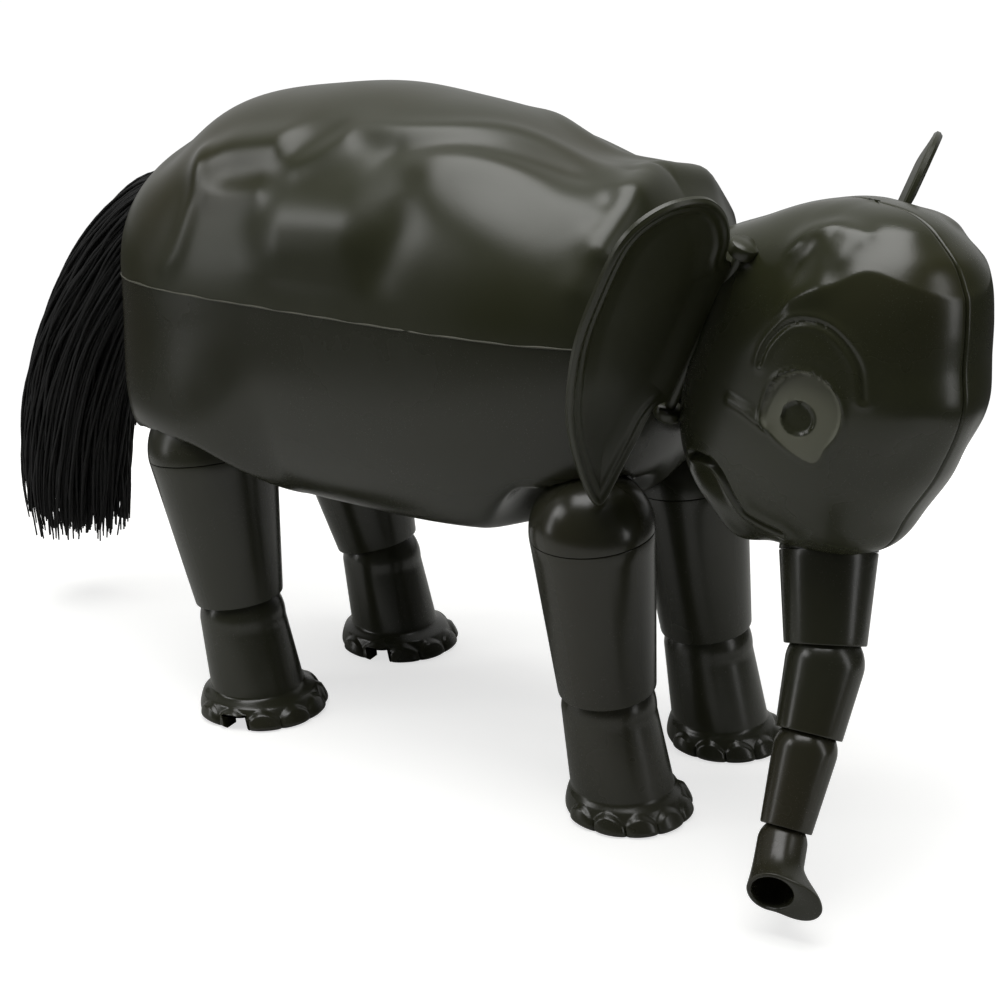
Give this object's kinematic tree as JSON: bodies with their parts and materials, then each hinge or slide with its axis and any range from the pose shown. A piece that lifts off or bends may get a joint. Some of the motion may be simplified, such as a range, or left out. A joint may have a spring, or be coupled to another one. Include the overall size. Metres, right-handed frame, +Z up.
{
  "type": "toy elephant",
  "caption": "Strung toy elephant in glossy olive plastic: jointed legs that lean forward, turned head with hinged ears, trunk of nested tubes and a black yarn tail.",
  "frame": {"origin": "on the floor under the middle of the toy's bounding box", "axes": "+X towards the head, +Y to the toy's left, +Z up"},
  "size_m": [0.4321, 0.1542, 0.2384],
  "materials": {
    "olive_plastic": "gloss",
    "dark_olive_plastic": "gloss",
    "yarn": "matt loose strands",
    "string": "matt twisted cord"
  },
  "bodies": {
    "body": {"body_upper_shell": "olive_plastic", "body_lower_shell": "dark_olive_plastic"},
    "front_right_hip": {"front_right_hip_cap": "dark_olive_plastic"},
    "front_right_upper": {"front_right_upper_leg": "dark_olive_plastic", "front_right_leg_cord": "string"},
    "front_right_lower": {"front_right_lower_leg": "dark_olive_plastic"},
    "front_left_hip": {"front_left_hip_cap": "dark_olive_plastic"},
    "front_left_upper": {"front_left_upper_leg": "dark_olive_plastic", "front_left_leg_cord": "string"},
    "front_left_lower": {"front_left_lower_leg": "dark_olive_plastic"},
    "rear_right_hip": {"rear_right_hip_cap": "dark_olive_plastic"},
    "rear_right_upper": {"rear_right_upper_leg": "dark_olive_plastic", "rear_right_leg_cord": "string"},
    "rear_right_lower": {"rear_right_lower_leg": "dark_olive_plastic"},
    "rear_left_hip": {"rear_left_hip_cap": "dark_olive_plastic"},
    "rear_left_upper": {"rear_left_upper_leg": "dark_olive_plastic", "rear_left_leg_cord": "string"},
    "rear_left_lower": {"rear_left_lower_leg": "dark_olive_plastic"},
    "neck": {"neck_ball": "dark_olive_plastic", "neck_cord": "string"},
    "head": {"head_right_half": "olive_plastic", "head_left_half": "olive_plastic"},
    "ear_right": {"ear_right": "olive_plastic"},
    "ear_left": {"ear_left": "olive_plastic"},
    "trunk_cap": {"trunk_cap": "dark_olive_plastic"},
    "trunk_1": {"trunk_tube_1": "dark_olive_plastic"},
    "trunk_2": {"trunk_tube_2": "dark_olive_plastic"},
    "trunk_3": {"trunk_tube_3": "dark_olive_plastic"},
    "trunk_tip": {"trunk_tip": "dark_olive_plastic", "trunk_cord": "string"},
    "tail": {"tail_hank": "yarn", "tail_knot": "yarn"}
  },
  "joints": [
    {"name": "front_right_hip_swing", "type": "hinge", "parent": "body", "child": "front_right_hip", "pos_m": [0.09466, -0.02561, 0.10295], "axis": [0, -1, 0], "range_deg": [-32, 16], "deforming": ["front_right_leg_cord"]},
    {"name": "front_right_leg_twist", "type": "hinge", "parent": "front_right_hip", "child": "front_right_upper", "pos_m": [0.09466, -0.02561, 0.10295], "axis": [-0.0393, -0.1371, 0.9898], "range_deg": [-20, 20], "deforming": ["front_right_leg_cord"]},
    {"name": "front_right_knee_bend", "type": "hinge", "parent": "front_right_upper", "child": "front_right_lower", "pos_m": [0.0973, -0.01638, 0.0363], "axis": [0, -1, 0], "range_deg": [-14, 12], "deforming": ["front_right_leg_cord"]},
    {"name": "front_left_hip_swing", "type": "hinge", "parent": "body", "child": "front_left_hip", "pos_m": [0.09466, 0.04119, 0.10278], "axis": [0, -1, 0], "range_deg": [-32, 16], "deforming": ["front_left_leg_cord"]},
    {"name": "front_left_leg_twist", "type": "hinge", "parent": "front_left_hip", "child": "front_left_upper", "pos_m": [0.09466, 0.04119, 0.10278], "axis": [-0.0928, -0.1302, 0.9871], "range_deg": [-20, 20], "deforming": ["front_left_leg_cord"]},
    {"name": "front_left_knee_bend", "type": "hinge", "parent": "front_left_upper", "child": "front_left_lower", "pos_m": [0.10091, 0.04995, 0.0363], "axis": [0, -1, 0], "range_deg": [-14, 12], "deforming": ["front_left_leg_cord"]},
    {"name": "rear_right_hip_swing", "type": "hinge", "parent": "body", "child": "rear_right_hip", "pos_m": [-0.0699, -0.03021, 0.10307], "axis": [0, -1, 0], "range_deg": [-20, 11], "deforming": ["rear_right_leg_cord"]},
    {"name": "rear_right_leg_twist", "type": "hinge", "parent": "rear_right_hip", "child": "rear_right_upper", "pos_m": [-0.0699, -0.03021, 0.10307], "axis": [-0.1243, -0.0397, 0.9914], "range_deg": [-20, 20], "deforming": ["rear_right_leg_cord"]},
    {"name": "rear_right_knee_bend", "type": "hinge", "parent": "rear_right_upper", "child": "rear_right_lower", "pos_m": [-0.06153, -0.02754, 0.0363], "axis": [0, -1, 0], "range_deg": [-14, 12], "deforming": ["rear_right_leg_cord"]},
    {"name": "rear_left_hip_swing", "type": "hinge", "parent": "body", "child": "rear_left_hip", "pos_m": [-0.0699, 0.04579, 0.10178], "axis": [0, -1, 0], "range_deg": [-24, 9], "deforming": ["rear_left_leg_cord"]},
    {"name": "rear_left_leg_twist", "type": "hinge", "parent": "rear_left_hip", "child": "rear_left_upper", "pos_m": [-0.0699, 0.04579, 0.10178], "axis": [-0.2142, -0.0927, 0.9724], "range_deg": [-20, 20], "deforming": ["rear_left_leg_cord"]},
    {"name": "rear_left_knee_bend", "type": "hinge", "parent": "rear_left_upper", "child": "rear_left_lower", "pos_m": [-0.05547, 0.05203, 0.0363], "axis": [0, -1, 0], "range_deg": [-14, 12], "deforming": ["rear_left_leg_cord"]},
    {"name": "head_yaw", "type": "hinge", "parent": "body", "child": "neck", "pos_m": [0.13155, 0.00779, 0.14217], "axis": [0, 0, 1], "range_deg": [-1, 9], "deforming": ["neck_cord"]},
    {"name": "head_nod", "type": "hinge", "parent": "neck", "child": "head", "pos_m": [0.13155, 0.00779, 0.14217], "axis": [-0.3907, -0.9205, 0], "range_deg": [-5, 10], "deforming": ["neck_cord"]},
    {"name": "ear_right_swing", "type": "hinge", "parent": "head", "child": "ear_right", "pos_m": [0.13369, -0.02788, 0.17406], "axis": [0.4452, -0.144, 0.8838], "range_deg": [-2, 24]},
    {"name": "ear_left_swing", "type": "hinge", "parent": "head", "child": "ear_left", "pos_m": [0.15869, 0.03103, 0.17406], "axis": [-0.4128, 0.2202, -0.8838], "range_deg": [-4, 60]},
    {"name": "trunk_swing", "type": "hinge", "parent": "head", "child": "trunk_cap", "pos_m": [0.16975, -0.00843, 0.10637], "axis": [-0.3907, -0.9205, 0], "range_deg": [-10, 18], "deforming": ["trunk_cord"]},
    {"name": "trunk_turn", "type": "hinge", "parent": "trunk_cap", "child": "trunk_1", "pos_m": [0.16975, -0.00843, 0.10637], "axis": [-0.1745, 0.3424, 0.9232], "range_deg": [-25, 25], "deforming": ["trunk_cord"]},
    {"name": "trunk_bend_1", "type": "hinge", "parent": "trunk_1", "child": "trunk_2", "pos_m": [0.17584, -0.02038, 0.07415], "axis": [-0.9976, -0.0698, 0], "range_deg": [-14, 14], "deforming": ["trunk_cord"]},
    {"name": "trunk_bend_2", "type": "hinge", "parent": "trunk_2", "child": "trunk_3", "pos_m": [0.17676, -0.03342, 0.05006], "axis": [-0.9976, -0.0698, 0], "range_deg": [-14, 14], "deforming": ["trunk_cord"]},
    {"name": "trunk_bend_3", "type": "hinge", "parent": "trunk_3", "child": "trunk_tip", "pos_m": [0.17783, -0.04875, 0.02547], "axis": [-0.9613, -0.2756, 0], "range_deg": [-14, 14], "deforming": ["trunk_cord"]},
    {"name": "tail_sway", "type": "hinge", "parent": "body", "child": "tail", "pos_m": [-0.11242, 0.00779, 0.19087], "axis": [1, 0, 0], "range_deg": [-25, 25]}
  ]
}
